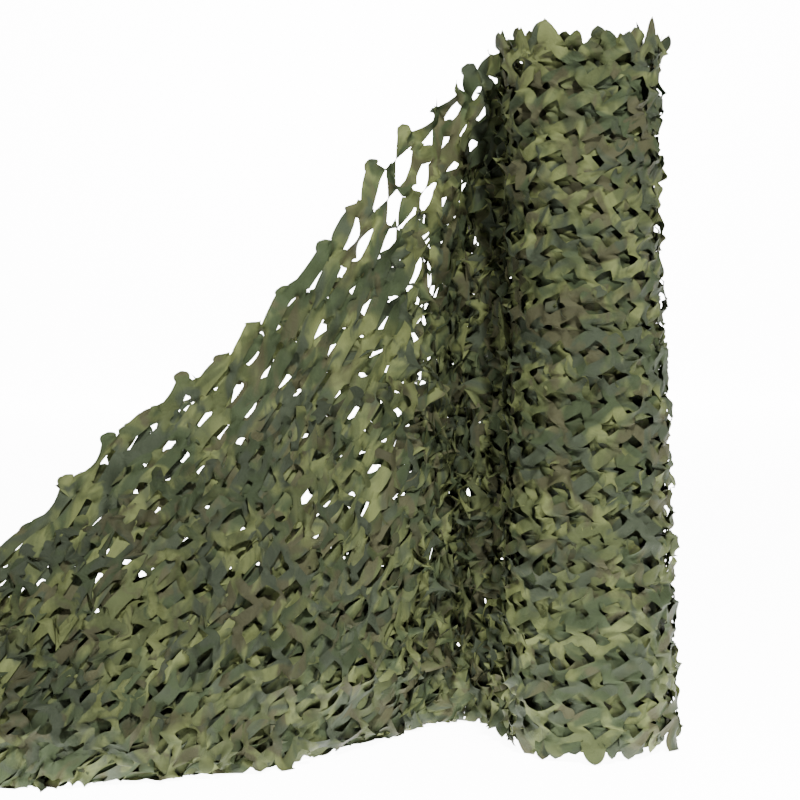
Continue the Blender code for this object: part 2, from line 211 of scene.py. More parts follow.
# Each joint sits on the surface, the even ones half a shift forwards and up, the odd ones back and down,
# moved by slow waves and a little at random. Then the ribbons' lengths are put right step by step: each
# draws its joints together or pushes them apart along itself, and no joint moves far off the surface.
# Each joint's own plane leans by a small random turn about the two directions of the cloth. A ribbon that is
# longer than its joints are apart bows by a share of what is spare: the other short side of the triangle
# whose long side is the ribbon.
def layNet(net, surface, laid):
    rng, count, kind = net["rng"], net["count"], net["kind"]
    base, step = net["base"], settle["step"]
    place = surface(base[:, 0], base[:, 1])
    upDir = unit(surface(base[:, 0], base[:, 1] + step) - surface(base[:, 0], base[:, 1] - step))
    alongDir = surface(base[:, 0] + step, base[:, 1]) - surface(base[:, 0] - step, base[:, 1])
    normal = unit(np.cross(alongDir, upDir))
    alongDir = np.cross(upDir, normal)
    side = np.where(net["even"], 0.5, -0.5)[:, None]
    place = place + side * (alongDir * laid["shift"][0] + upDir * laid["shift"][1])

    # low down and near the free end, 0 to 1, where the second value of a pair holds
    lowDown = settle["lowHeight"] * (1.0 - base[:, 1] / base[:, 1].max())
    farOut = settle["farOut"][0] - settle["farOut"][1] * base[:, 0] / base[:, 0].max()
    low = np.clip(np.maximum(lowDown, farOut), 0.0, 1.0)

    # slow waves gather the cloth here and draw it out there, and each joint also slides on its own
    phase = rng.uniform(0, 6, 4)
    x, y = base[:, 0], base[:, 1]
    waves = [np.sin(a * x + b * y + c) for (a, b), c in zip(settle["waves"], phase)]
    gathers = np.stack([waves[0] + waves[1], waves[2] + waves[3]], 1) / 2
    gather, slides = [laid[name][0] * (1.0 - low) + laid[name][1] * low for name in ("gather", "slide")]
    slide = gathers * gather[:, None] + rng.normal(0, 1, (count, 2)) * slides[:, None]
    lift = rng.normal(0, laid["lift"], (count, 1))
    home = place + alongDir * slide[:, :1] + upDir * slide[:, 1:]
    place = home + normal * lift

    free = np.ones(count)
    free[np.abs(base[:, 1] - base[:, 1].max()) < 1e-6] = settle["edgeFree"]
    ribbons = kind < 3
    begin, finish = net["begin"][ribbons], net["finish"][ribbons]
    rest = np.array(laid["lengths"])[kind[ribbons]] * rng.uniform(*settle["lengthShares"], ribbons.sum())
    for again in range(settle["times"]):
        run = place[finish] - place[begin]
        span = np.linalg.norm(run, axis=1)
        excess = span - rest
        share = np.where(excess > 0, settle["draw"], settle["push"])
        move = run * (excess / np.maximum(span, 1e-6) * share)[:, None]
        np.add.at(place, begin, move * free[begin, None])
        np.add.at(place, finish, -move * free[finish, None])
        off = np.sum((place - home) * normal, 1)
        place -= normal * (off - np.clip(off, -laid["mostLift"], laid["mostLift"]))[:, None]
        place += (home - place) * settle["home"]
    if laid["round"]:
        # the cloth meets itself at the start of the turn
        ring = 2 * net["columns"]
        place[np.arange(0, count, ring + 1)] = place[np.arange(ring, count, ring + 1)]

    lean = rng.normal(0, laid["lean"], (count, 2)) + np.array(laid["meanLean"])
    plane = unit(normal + alongDir * lean[:, :1] + upDir * lean[:, 1:])
    tips = net["tips"]
    out = net["tipOut"]
    stand = alongDir[tips] * out[:, :1] + upDir[tips] * out[:, 1:]
    stand = stand + normal[tips] * rng.normal(0, settle["tipStand"], (len(tips), 1))
    joints = np.concatenate([place, place[tips] + stand])

    total = len(kind)
    own = rng.normal(0, 1, total) * np.array(laid["turn"])[kind]
    folded = rng.uniform(0, 1, total) < laid["foldedShare"]
    own = np.where(folded, own + np.sign(own) * laid["foldedTurn"], own)
    bow = rng.uniform(laid["bow"][0], laid["bow"][1], total)
    span = np.linalg.norm(place[finish] - place[begin], axis=1)
    spare = np.sqrt(np.maximum(rest**2 - span**2, 0.0))
    slack = np.minimum(spare * laid["slack"], laid["mostBow"])
    bow[ribbons] += slack * rng.uniform(*settle["slackShares"], len(spare))
    curl = rng.normal(0, laid["curl"], total)
    return spanRibbons(net, joints, plane, own, bow, curl)


# A net as one thin piece: two rows of faces along each ribbon, its flat place as the UV map in metres, and
# sharp bends creased.
def makeNet(name, net, points, material):
    faces, count = net["faces"], net["count"]
    made = count + len(net["tips"])
    triangle = (faces[:, 2] == faces[:, 3]) | (faces[:, 1] == faces[:, 2])
    keep = np.ones(faces.shape, bool)
    keep[triangle, 2] = False
    corners = faces[keep]
    sizes = keep.sum(1)
    starts = np.concatenate([[0], np.cumsum(sizes)[:-1]])
    used, corners = np.unique(corners, return_inverse=True)
    renamed = np.full(len(points), -1)
    renamed[used] = np.arange(len(used))
    mesh = bpy.data.meshes.new(name)
    mesh.vertices.add(len(used))
    mesh.vertices.foreach_set("co", points[used].astype(np.float32).ravel())
    mesh.loops.add(len(corners))
    mesh.loops.foreach_set("vertex_index", corners.astype(np.int32))
    mesh.polygons.add(len(faces))
    mesh.polygons.foreach_set("loop_start", starts.astype(np.int32))
    mesh.polygons.foreach_set("loop_total", sizes.astype(np.int32))
    mesh.update(calc_edges=True)
    layer = mesh.uv_layers.new(name="cloth")
    uv = net["flat"][used][corners] + np.array(net["printShift"])
    layer.data.foreach_set("uv", uv.astype(np.float32).ravel())
    isCorner = (used >= made) & (used < made + 3 * count)
    isTip = (used >= count) & (used < made)
    crease = mesh.attributes.new("crease_vert", "FLOAT", "POINT")
    creased = np.where(isCorner, cut["cornerCrease"], np.where(isTip, 1.0, 0.0))
    crease.data.foreach_set("value", creased.astype(np.float32))
    ends = np.zeros(2 * len(mesh.edges), np.int32)
    mesh.edges.foreach_get("vertices", ends)
    ends = np.sort(ends.reshape(-1, 2), axis=1)
    bends = renamed[net["bends"]]
    wanted = np.sort(np.concatenate([bends[:, :2], bends[:, 1:]]), axis=1)
    hit = np.isin(ends[:, 0] * len(used) + ends[:, 1], wanted[:, 0] * len(used) + wanted[:, 1])
    edge = mesh.attributes.new("crease_edge", "FLOAT", "EDGE")
    edge.data.foreach_set("value", np.where(hit, cut["bendCrease"], 0.0).astype(np.float32))
    mesh.materials.append(material)
    mesh.shade_smooth()
    mesh.validate()
    piece = bpy.data.objects.new(name, mesh)
    bpy.context.scene.collection.objects.link(piece)
    smooth = piece.modifiers.new("smooth", "SUBSURF")
    smooth.levels = 1
    smooth.render_levels = 1
    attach(piece, "root")
    print(name, "made,", len(faces), "faces")
    return piece


# A column of a table at any place, on a smooth curve through its rows.
def smoothColumn(table, place, key, name):
    knots, values = np.array(table[key]), np.array(table[name])
    slopes = np.gradient(values, knots)
    place = np.clip(place, knots[0], knots[-1])
    row = np.clip(np.searchsorted(knots, place, side="right") - 1, 0, len(knots) - 2)
    span = knots[row + 1] - knots[row]
    t = (place - knots[row]) / span
    rise = (2 * t**3 - 3 * t**2 + 1) * values[row] + (3 * t**2 - 2 * t**3) * values[row + 1]
    return rise + (t**3 - 2 * t**2 + t) * span * slopes[row] + (t**3 - t**2) * span * slopes[row + 1]


# the printed cloth
# A colour as a screen shows it, 0 to 255, as the light it stands for.
def fromScreen(*rgb):
    c = np.array(rgb) / 255.0
    return (*np.where(c <= 0.04045, c / 12.92, ((c + 0.055) / 1.055) ** 2.4), 1.0)


printed = {
    "ground": fromScreen(49, 54, 32),
    "patchSlope": 0.37,       # the pattern's shift across, for its shift along
    "patches": (              # colour, blotches a metre, share covered, softness, shift of the pattern
        (fromScreen(69, 74, 44), 7.0, 0.42, 0.080, 3.1),
        (fromScreen(37, 44, 28), 6.0, 0.38, 0.070, 17.7),
        (fromScreen(46, 46, 31), 8.0, 0.20, 0.070, 29.3),
        (fromScreen(38, 43, 32), 8.5, 0.18, 0.070, 41.9),
    ),
    "patchEdge": (0.62, 0.24),                  # where the noise cuts off, less so for a larger share
    "patchNoise": {"Detail": 3.0, "Roughness": 0.55, "Distortion": 0.9},
    "mottle": 0.22,           # share by which the colour wavers
    "mottleNoise": {"Scale": 38.0, "Detail": 4.0, "Roughness": 0.6},
    "weaveSize": 0.0011, "bandScale": 0.314,    # metres between threads, and the scale for one metre
    "weaveBump": {"Strength": 0.25, "Distance": 0.0003},
    "creaseNoise": {"Scale": 60.0, "Detail": 5.0, "Roughness": 0.62, "Distortion": 1.4},
    "creaseBump": {"Strength": 0.55, "Distance": 0.004},
    "roughness": 0.70, "specular": 0.07,
    "glowFrom": 0.50, "glowTo": 1.20,           # heights between which more light comes through
}


# A shader node with its settings and unlinked values.
def addNode(tree, kind, **values):
    node = tree.nodes.new(kind)
    for key, value in values.items():
        if hasattr(node, key):
            setattr(node, key, value)
        else:
            node.inputs[key.replace("_", " ")].default_value = value
    return node


# Woodland print on the cloth's own flat coordinates: blotches of noise over a ground colour, with a fine
# mottle. The whole colour is scaled by a brightness, which below 1 is painted shade and above 1 painted
# light. Creases and a plain weave are bump. Some light passes through: "glow" is its share low down and
# high up, where one layer hangs free, and it grows smoothly between.
def printedCloth(name, brightness, glow):
    material = bpy.data.materials.new(name)
    material.use_nodes = True
    tree = material.node_tree
    tree.nodes.clear()
    out = addNode(tree, "ShaderNodeOutputMaterial")
    where = addNode(tree, "ShaderNodeUVMap", uv_map="cloth")
    colour = None
    for tone, scale, share, soft, shift in printed["patches"]:
        moved = addNode(tree, "ShaderNodeMapping", Location=(shift, shift * printed["patchSlope"], 0.0))
        tree.links.new(where.outputs["UV"], moved.inputs["Vector"])
        noise = addNode(tree, "ShaderNodeTexNoise", noise_dimensions="2D", Scale=scale,
                        **printed["patchNoise"])
        tree.links.new(moved.outputs["Vector"], noise.inputs["Vector"])
        middle = printed["patchEdge"][0] - printed["patchEdge"][1] * share
        edge = addNode(tree, "ShaderNodeMapRange", interpolation_type="SMOOTHSTEP",
                       From_Min=middle - soft, From_Max=middle + soft)
        tree.links.new(noise.outputs["Fac"], edge.inputs["Value"])
        mix = addNode(tree, "ShaderNodeMix", data_type="RGBA")
        mix.inputs[6].default_value = printed["ground"]
        mix.inputs[7].default_value = tone
        if colour is not None:
            tree.links.new(colour, mix.inputs[6])
        tree.links.new(edge.outputs["Result"], mix.inputs["Factor"])
        colour = mix.outputs[2]
    mottle = addNode(tree, "ShaderNodeTexNoise", noise_dimensions="2D", **printed["mottleNoise"])
    tree.links.new(where.outputs["UV"], mottle.inputs["Vector"])
    level = addNode(tree, "ShaderNodeMapRange", To_Min=brightness * (1 - printed["mottle"]),
                    To_Max=brightness * (1 + printed["mottle"]))
    tree.links.new(mottle.outputs["Fac"], level.inputs["Value"])
    tinted = addNode(tree, "ShaderNodeVectorMath", operation="SCALE")
    tree.links.new(colour, tinted.inputs[0])
    tree.links.new(level.outputs["Result"], tinted.inputs["Scale"])

    weave = addNode(tree, "ShaderNodeMath", operation="MAXIMUM")
    for index, direction in enumerate(("X", "Y")):
        wave = addNode(tree, "ShaderNodeTexWave", wave_type="BANDS", bands_direction=direction,
                       Scale=printed["bandScale"] / printed["weaveSize"], Distortion=0.0, Detail=0.0)
        tree.links.new(where.outputs["UV"], wave.inputs["Vector"])
        tree.links.new(wave.outputs["Fac"], weave.inputs[index])
    creases = addNode(tree, "ShaderNodeTexNoise", noise_dimensions="2D", **printed["creaseNoise"])
    tree.links.new(where.outputs["UV"], creases.inputs["Vector"])
    creaseBump = addNode(tree, "ShaderNodeBump", **printed["creaseBump"])
    tree.links.new(creases.outputs["Fac"], creaseBump.inputs["Height"])
    weaveBump = addNode(tree, "ShaderNodeBump", **printed["weaveBump"])
    tree.links.new(weave.outputs[0], weaveBump.inputs["Height"])
    tree.links.new(creaseBump.outputs["Normal"], weaveBump.inputs["Normal"])

    front = addNode(tree, "ShaderNodeBsdfPrincipled", Roughness=printed["roughness"],
                    Specular_IOR_Level=printed["specular"])
    through = addNode(tree, "ShaderNodeBsdfTranslucent")
    tree.links.new(tinted.outputs[0], front.inputs["Base Color"])
    tree.links.new(tinted.outputs[0], through.inputs["Color"])
    tree.links.new(weaveBump.outputs["Normal"], front.inputs["Normal"])
    mixed = addNode(tree, "ShaderNodeMixShader")
    place = addNode(tree, "ShaderNodeTexCoord")
    apart = addNode(tree, "ShaderNodeSeparateXYZ")
    tree.links.new(place.outputs["Object"], apart.inputs[0])
    lightened = addNode(tree, "ShaderNodeMapRange", interpolation_type="SMOOTHSTEP",
                        From_Min=printed["glowFrom"], From_Max=printed["glowTo"],
                        To_Min=glow[0], To_Max=glow[1])
    tree.links.new(apart.outputs["Z"], lightened.inputs["Value"])
    tree.links.new(lightened.outputs["Result"], mixed.inputs[0])
    tree.links.new(front.outputs["BSDF"], mixed.inputs[1])
    tree.links.new(through.outputs["BSDF"], mixed.inputs[2])
    tree.links.new(mixed.outputs["Shader"], out.inputs["Surface"])
    return material


clothMaterial = printedCloth("printed cloth", brightness=1.0, glow=(0.06, 0.12))
looseMaterial = printedCloth("printed cloth in the light", brightness=1.04, glow=(0.04, 0.42))
# a copy of the print darkened to 0.72: painted shade on the low front leaf
shadedLowMaterial = printedCloth("printed cloth near the floor in painted shade", brightness=0.72, glow=(0.04, 0.60))
innerMaterial = printedCloth("printed cloth in the shade", brightness=0.6, glow=(0.0, 0.0))
print("cloth material made")

# the wound roll
roll = {
    "rows": 29, "height": 1.450, "halfWidths": (0.0142, 0.0126, 0.0096), "blunt": 0.0045,
    "seatX": -0.166, "seatLean": -0.012,        # where the loose end meets the roll, and lean with height
    "bulge": 0.008,
    "rings": {                # floor to rim: height, lean of the axis, radius
        "height": (0.000, 0.100, 0.400, 0.750, 1.100, 1.350, 1.450),
        "leanX": (0.000, 0.000, -0.006, -0.013, -0.022, -0.027, -0.030),
        "leanY": (0.000, 0.002, 0.004, 0.004, 0.000, 0.000, 0.000),
        "radius": (0.170, 0.172, 0.166, 0.160, 0.155, 0.154, 0.158),
    },
    "turns": (                # depth from the face, cells round, angle of the start, shift of the print
        {"name": "roll_outer_turn", "depth": -0.002, "cells": 14, "start": 0.0, "shift": (0.3, 0.1),
         "seed": 11, "tipSize": 1.2},
        {"name": "roll_second_turn", "depth": 0.006, "cells": 14, "start": 0.2, "shift": (1.9, 0.6),
         "seed": 12, "tipSize": 0.8},
        {"name": "roll_third_turn", "depth": 0.013, "cells": 13, "start": 0.5, "shift": (3.1, 1.6),
         "seed": 13, "tipSize": 0.7},
    ),
    "overlap": 0.050,         # metres that the net's rows are short of the cloth at each end
    "clothTall": 1.495,
    "flare": 0.012, "flareTall": 0.05,          # the lowest rows stand out at the floor
    "waves": ((0.004, 2, 5, 0.0), (0.003, 3, -7, 1.0)),     # size, waves round and up, start
    "bulgeWaves": (48.0, 1.5, 2.0),             # radians a metre up, sway round the roll and its waves
    "laid": {"shift": (0.0170, 0.0280), "lengths": (0.068, 0.038, 0.029), "round": True,
             "gather": (0.005, 0.005), "slack": 0.25, "mostBow": 0.008, "lift": 0.0045,
             "mostLift": 0.010, "slide": (0.0065, 0.0065), "lean": 0.30, "meanLean": (-0.05, -0.10),
             "turn": (0.34, 0.34, 0.36, 0.12, 0.12),
             "foldedShare": 0.04, "foldedTurn": 0.6, "bow": (-0.002, 0.004), "curl": 0.0016},
}


# Cloth wound on the roll: the distance along it is the angle round the roll, counted from the left side
# through the front, and the distance up it is the height. Waves round and up make it uneven, and it bulges
# in bands by the square of a wave's upper half.
def rollSurface(cells, depth, start):
    def surface(x, y):
        angle = np.pi + start + x / (cells * cut["cellWide"]) * 2 * np.pi
        tall = roll["rows"] * cut["cellTall"] + 2 * roll["overlap"]
        z = (y + roll["overlap"]) / tall * roll["clothTall"]
        inner = np.clip(z, 0.0, roll["height"])
        rings = roll["rings"]
        r = smoothColumn(rings, inner, "height", "radius") - depth
        for size, around, up, begin in roll["waves"]:
            r = r + size * np.sin(around * angle + up * z + begin)
        r = r + roll["flare"] * np.clip(1.0 - z / roll["flareTall"], 0.0, 1.0) ** 2
        up, sway, around = roll["bulgeWaves"]
        r = r + roll["bulge"] * np.clip(np.sin(up * z + sway * np.sin(around * angle)), 0.0, 1.0) ** 2
        px = smoothColumn(rings, inner, "height", "leanX") + r * np.cos(angle)
        py = smoothColumn(rings, inner, "height", "leanY") + r * np.sin(angle)
        return np.stack([px, py, z], -1)
    return surface


for turn in roll["turns"]:
    net = cutNet(turn["cells"], roll["rows"], turn["seed"], turn["tipSize"], roll["halfWidths"],
                 roll["blunt"])
    net["printShift"] = turn["shift"]
    points = layNet(net, rollSurface(turn["cells"], turn["depth"], turn["start"]), roll["laid"])
    points[:, 2] = np.maximum(points[:, 2], cut["lowest"])
    piece = makeNet(turn["name"], net, points, clothMaterial)


body = {
    "around": 96, "up": 60,                     # points round a ring, and rings
    "foot": (0.004, 0.02), "top": (1.40, 1.405),
    "depth": 0.014,
    "fullerSide": 0.013,      # metres that it is fuller at its left, where the loose end leaves
    "sidePower": 10,          # keeps that side narrow
    "endShare": 0.2,          # size of the closed ends
    "flatRadius": 0.16,       # metres, for the print round it
    "waves": ((0.003, 9, 14), (0.002, 17, -23)),            # size, waves round and up
}


# The turns within, as one closed body: rings of the roll's own outline, drawn in by a depth and uneven by
# slow waves, with the ends closed. Its left side is fuller by a high power of the cosine of the angle.
def windBody():
    angles = np.linspace(0, 2 * np.pi, body["around"], endpoint=False)
    middle = np.linspace(body["foot"][1], body["top"][0], body["up"])
    heights = np.concatenate([body["foot"][:1], middle, body["top"][1:]])
    z, a = np.meshgrid(heights, angles, indexing="ij")
    rings = roll["rings"]
    r = smoothColumn(rings, z, "height", "radius") - body["depth"]
    r = r + body["fullerSide"] * np.clip(-np.cos(a), 0.0, 1.0) ** body["sidePower"]
    for size, around, up in body["waves"]:
        r = r + size * np.sin(around * a + up * z)
    r[[0, -1]] *= body["endShare"]
    points = np.stack([smoothColumn(rings, z, "height", "leanX") + r * np.cos(a),
                       smoothColumn(rings, z, "height", "leanY") + r * np.sin(a), z], -1)
    flat = np.stack([a * body["flatRadius"], z], -1)
    ids = np.arange(z.size).reshape(z.shape)
    nextIds = np.roll(ids, -1, axis=1)
    faces = np.stack([ids[:-1], nextIds[:-1], nextIds[1:], ids[1:]], -1).reshape(-1, 4).tolist()
    mesh = bpy.data.meshes.new("wound_body")
    mesh.from_pydata(points.reshape(-1, 3).tolist(), [], faces + [ids[0][::-1].tolist(), ids[-1].tolist()])
    loops = np.zeros(len(mesh.loops), np.int32)
    mesh.loops.foreach_get("vertex_index", loops)
    mesh.uv_layers.new(name="cloth").data.foreach_set("uv", flat.reshape(-1, 2)[loops].ravel())
    mesh.materials.append(innerMaterial)
    mesh.shade_smooth()
    piece = bpy.data.objects.new("wound_body", mesh)
    bpy.context.scene.collection.objects.link(piece)
    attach(piece, "root")
    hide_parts("netting_roll")


windBody()
print("body wound")

# the turns inside, which show at the top as one strip of leaf tips wound in a spiral
spiral = {
    "outer": 0.136, "inner": 0.016, "pitch": 0.0145,        # radii, and from turn to turn
    "foot": 1.372, "leanX": -0.028, "seed": 17, "printShift": (5.3, 0.9),
    "tipSize": 1.0, "halfWidths": (0.0125, 0.0110, 0.0085), "blunt": 0.0045,
    "waves": ((0.03, 2, 0.6), (0.02, 3, 0.0)),  # share of the radius, waves round, start
    "laid": {"lift": 0.0015, "mostLift": 0.004, "round": False, "lean": 0.30},
}


# A strip that stands on its edge in a spiral of even pitch: each turn takes up pitch times its length from
# the area inside, so the radius at a length follows from the area that is left.
def spiralSurface(x, y):
    left = spiral["outer"] ** 2 - spiral["pitch"] * x / np.pi
    r = np.sqrt(np.maximum(left, spiral["inner"] ** 2))
    angle = 2 * np.pi * (spiral["outer"] - r) / spiral["pitch"]
    r = r * (1.0 + sum(size * np.sin(around * angle + begin) for size, around, begin in spiral["waves"]))
    return np.stack([spiral["leanX"] + r * np.cos(angle), r * np.sin(angle), spiral["foot"] + y], -1)


spiralLength = np.pi * (spiral["outer"] ** 2 - spiral["inner"] ** 2) / spiral["pitch"]
spiralCells = int(spiralLength / cut["cellWide"])
net = cutNet(spiralCells, 1, spiral["seed"], spiral["tipSize"], spiral["halfWidths"], spiral["blunt"])
net["printShift"] = spiral["printShift"]
points = layNet(net, spiralSurface, {**roll["laid"], **spiral["laid"]})
piece = makeNet("roll_inner_turns", net, points, clothMaterial)
print("inner turns laid")

# the loose end
loose = {
    "thickness": 0.0026, "seatGap": 0.0003,
    "tipSize": 0.7, "blunt": 0.009, "fuller": 0.35,
    # from the roll to the free end: the floor line, the upper edge, how far the cloth stands out between,
    # its bend at the floor, what lies there, the pleats, each leaf's top below the edge, and its length
    "sections": {
        "along":   (0.000, 0.060, 0.140, 0.250, 0.380, 0.540, 0.760, 1.000, 1.260, 1.560, 1.880),
        "footX":  (-0.160, -0.160, -0.184, -0.245, -0.330, -0.405, -0.600, -0.800, -1.010, -1.260, -1.560),
        "footY":  (-0.010, 0.050, 0.130, 0.196, 0.170, 0.060, -0.175, -0.290, -0.375, -0.425, -0.450),
        "ridgeX": (-0.160, -0.160, -0.198, -0.262, -0.345, -0.440, -0.580, -0.745, -0.960, -1.220, -1.530),
        "ridgeY": (-0.010, 0.050, 0.105, 0.125, 0.115, 0.090, 0.050, 0.000, -0.080, -0.160, -0.290),
        "ridgeZ": (1.440, 1.440, 1.435, 1.392, 1.310, 1.205, 1.010, 0.835, 0.675, 0.435, 0.130),
        "belly":   (0.000, 0.000, 0.010, 0.018, 0.024, 0.030, 0.046, 0.052, 0.050, 0.040, 0.010),
        "bend":    (0.000, 0.000, 0.000, 0.012, 0.018, 0.022, 0.026, 0.028, 0.026, 0.022, 0.016),
        "tuck":    (0.000, 0.000, 0.000, 0.010, 0.040, 0.070, 0.100, 0.110, 0.110, 0.100, 0.080),
        "pleats":  (0.000, 0.000, 0.500, 1.000, 0.900, 0.450, 0.150, 0.100, 0.100, 0.100, 0.050),
        "outerTop": (0.0,) * 11,
        "innerTop": (0.060, 0.060, 0.090, 0.150, 0.195, 0.185, 0.060, 0.030, 0.020, 0.020, 0.010),
        "lowTop":  (0.100, 0.100, 0.150, 0.300, 0.450, 0.800, 0.640, 0.460, 0.330, 0.220, 0.100),
        "frontTop": (0.840, 0.840, 0.800, 0.700, 0.560, 0.450, 0.320, 0.225, 0.165, 0.070, 0.015),
        "cloth":   (0.000, 0.060, 0.190, 0.370, 0.560, 0.750, 0.990, 1.250, 1.560, 1.910, 2.288),
    },
    # for each leaf: its top edge, rows, cells along it, row spacing at the top and how it closes lower down,
    # whether its rows are level instead, how far it lags along the cloth, how far it hangs behind, how
    # uneven that is and how much more it is farther out, and the shift of the print
    "leaves": (
        {"name": "loose_net", "top": "outerTop", "rows": 30, "columns": 21, "spacing": 0.0625,
         "closing": 0.0055, "level": False, "later": 0.0, "behind": 0.0, "uneven": 0.0, "fartherOut": 0.0,
         "halfWidths": (0.0176, 0.0182, 0.0148), "seed": 21, "shift": (-0.4, 2.2),
         "laid": {"shift": (-0.0040, 0.0310)}},
        {"name": "loose_inner_leaf", "top": "innerTop", "rows": 27, "columns": 26, "spacing": 0.0500,
         "closing": 0.0060, "level": False, "later": 0.015, "behind": 0.003, "uneven": 0.003,
         "fartherOut": 0.012, "halfWidths": (0.0178, 0.0172, 0.0142), "seed": 22, "shift": (1.4, -2.2),
         "laid": {"shift": (0.0270, 0.0050)}},
        {"name": "loose_low_leaf", "top": "lowTop", "rows": 22, "columns": 26, "spacing": 0.050,
         "closing": 0.0080, "level": False, "later": 0.035, "behind": 0.012, "uneven": 0.005,
         "fartherOut": 0.020, "halfWidths": (0.0178, 0.0172, 0.0142), "seed": 23, "shift": (4.1, 1.2),
         "laid": {"shift": (0.0100, 0.0280)}},
        {"name": "loose_front_leaf", "top": "frontTop", "rows": 11, "columns": 32, "spacing": 0.050,
         "closing": 0.0, "level": True, "later": 0.0, "behind": -0.006, "uneven": 0.004,
         "fartherOut": 0.0, "halfWidths": (0.0130, 0.0115, 0.0095), "seed": 24, "shift": (7.3, 3.2),
         "laid": {"shift": (0.0120, 0.0320), "lengths": (0.056, 0.038, 0.033), "gather": (0.012, 0.016),
                  "slide": (0.0080, 0.0080), "turn": (0.42, 0.42, 0.42, 0.3, 0.3)}},
    ),
    "evenOver": 0.3,          # metres from the roll over which rows are spread evenly
    "evenShare": 0.997,       # of the fall, down to the lowest row
    "apartFrom": 0.10, "apartOver": 0.10,       # metres from the roll where the leaves part
    "fartherFrom": 0.4, "fartherOver": 0.2,     # metres from the roll where it hangs farther behind
    "unevenWaves": (9.0, 4.0),                  # radians a metre, along and down
    "step": 0.02,             # metres between the places that give the direction of the floor line
    "bellyPower": 1.4,        # over 1 brings the belly lower down
    "foldDepth": 0.016, "foldWaves": (14.0, 5.0, 1.5, 4.0, 3.0),    # slanting folds and their sway
    "foldFrom": 0.30, "foldOver": 0.3,          # metres from the roll where they start
    "slumpDepth": 0.020, "slumpWaves": (30.0, 3.0, 3.1),            # level folds low down and their sway
    "slumpUnder": 0.42, "slumpOver": 0.30, "slumpFoot": 0.06,       # heights between which they grow and end
    "pleatDepth": 0.022, "pleatWide": 0.075, "pleatWaves": (2.0, 2.2), "pleatEnd": 12.0,
    "footLift": 0.75,         # of the thickness, so that the cloth lies on the floor
    # folds that stand behind: height as a share of the edge's and at least, room for each and how many get
    # it, and their squatness
    "backShare": 0.40, "backLeast": 0.08, "backApart": 0.022, "backFolds": 3.0, "backFlat": 0.95,
    "laid": {"lengths": (0.066, 0.034, 0.031), "round": False, "gather": (0.007, 0.024),
             "slack": 0.35, "mostBow": 0.014, "lift": 0.0050, "mostLift": 0.012,
             "slide": (0.0060, 0.0130), "lean": 0.30, "meanLean": (0.0, -0.05),
             "turn": (0.40, 0.40, 0.40, 0.25, 0.25),
             "foldedShare": 0.10, "foldedTurn": 0.7, "bow": (-0.005, 0.007), "curl": 0.0020},
}


# The hanging cloth at a distance along it from the roll and down it from its upper edge: it falls from the
# ridge with a belly to the front, turns under at the floor in a quarter circle, lies on the floor, and
# what is left rises and falls again behind, in folds. Slanting folds away from the roll, level ones low
# down and upright pleats beside the roll are added, each a wave that sways by another wave.
def drape(along, down):
    def column(name, place=along):
        return smoothColumn(loose["sections"], place, "along", name)

    step = loose["step"]
    dx = column("footX", along + step) - column("footX", along - step)
    dy = column("footY", along + step) - column("footY", along - step)
    back = unit(np.stack([dy, -dx], -1))
    bend = column("bend")
    foot = np.stack([column("footX"), column("footY"), bend + loose["thickness"] * loose["footLift"]], -1)
    ridge = np.stack([column("ridgeX"), column("ridgeY"), column("ridgeZ")], -1)
    fall = np.linalg.norm(ridge - foot, axis=-1)
    share = np.minimum(down / fall, 1.0)
    point = ridge + (foot - ridge) * share[..., None]
    share = np.maximum(share, 0.0)
    z = point[..., 2]
    fold = column("belly") * np.sin(np.pi * share ** loose["bellyPower"])
    a, b, sway, c, d = loose["foldWaves"]
    slanting = np.sin(a * along + b * down + sway * np.sin(c * down + d * along))
    outer = np.clip((along - loose["foldFrom"]) / loose["foldOver"], 0.0, 1.0)
    fold = fold + loose["foldDepth"] * slanting * outer * np.sqrt(np.abs(np.sin(np.pi * share)))
    low = np.clip((loose["slumpUnder"] - z) / loose["slumpOver"], 0.0, 1.0)
    low = low * np.clip(z / loose["slumpFoot"], 0.0, 1.0)
    a, sway, b = loose["slumpWaves"]
    fold = fold + loose["slumpDepth"] * outer * low * np.sin(a * z + sway * np.sin(b * along))
    sway, a = loose["pleatWaves"]
    pleat = np.cos(2 * np.pi * along / loose["pleatWide"] + sway * np.sin(a * down))
    ending = np.clip((1.0 - share) * loose["pleatEnd"], 0.0, 1.0)
    fold = fold + loose["pleatDepth"] * column("pleats") * pleat * ending
    turned = np.clip((down - fall) / np.maximum(bend, 1e-6), 0.0, np.pi / 2)
    lying = np.maximum(down - fall - bend * np.pi / 2, 0.0)
    tuck = column("tuck")
    left = np.maximum(lying - tuck, 0.0)
    leg = np.maximum(column("ridgeZ") * loose["backShare"], loose["backLeast"])
    phase = left / leg
    height = leg * np.abs(phase - 2 * np.round(phase / 2)) * loose["backFlat"]
    inward = bend * (1.0 - np.cos(turned)) + np.minimum(lying, tuck) - fold
    inward = inward + loose["backApart"] * np.minimum(phase, loose["backFolds"])
    point[..., 0] += back[..., 0] * inward
    point[..., 1] += back[..., 1] * inward
    point[..., 2] += height - bend * np.sin(turned)
    limit = roll["seatX"] + roll["seatLean"] * point[..., 2] - loose["seatGap"] - loose["thickness"] / 2
    point[..., 0] = np.minimum(point[..., 0], limit)
    return point


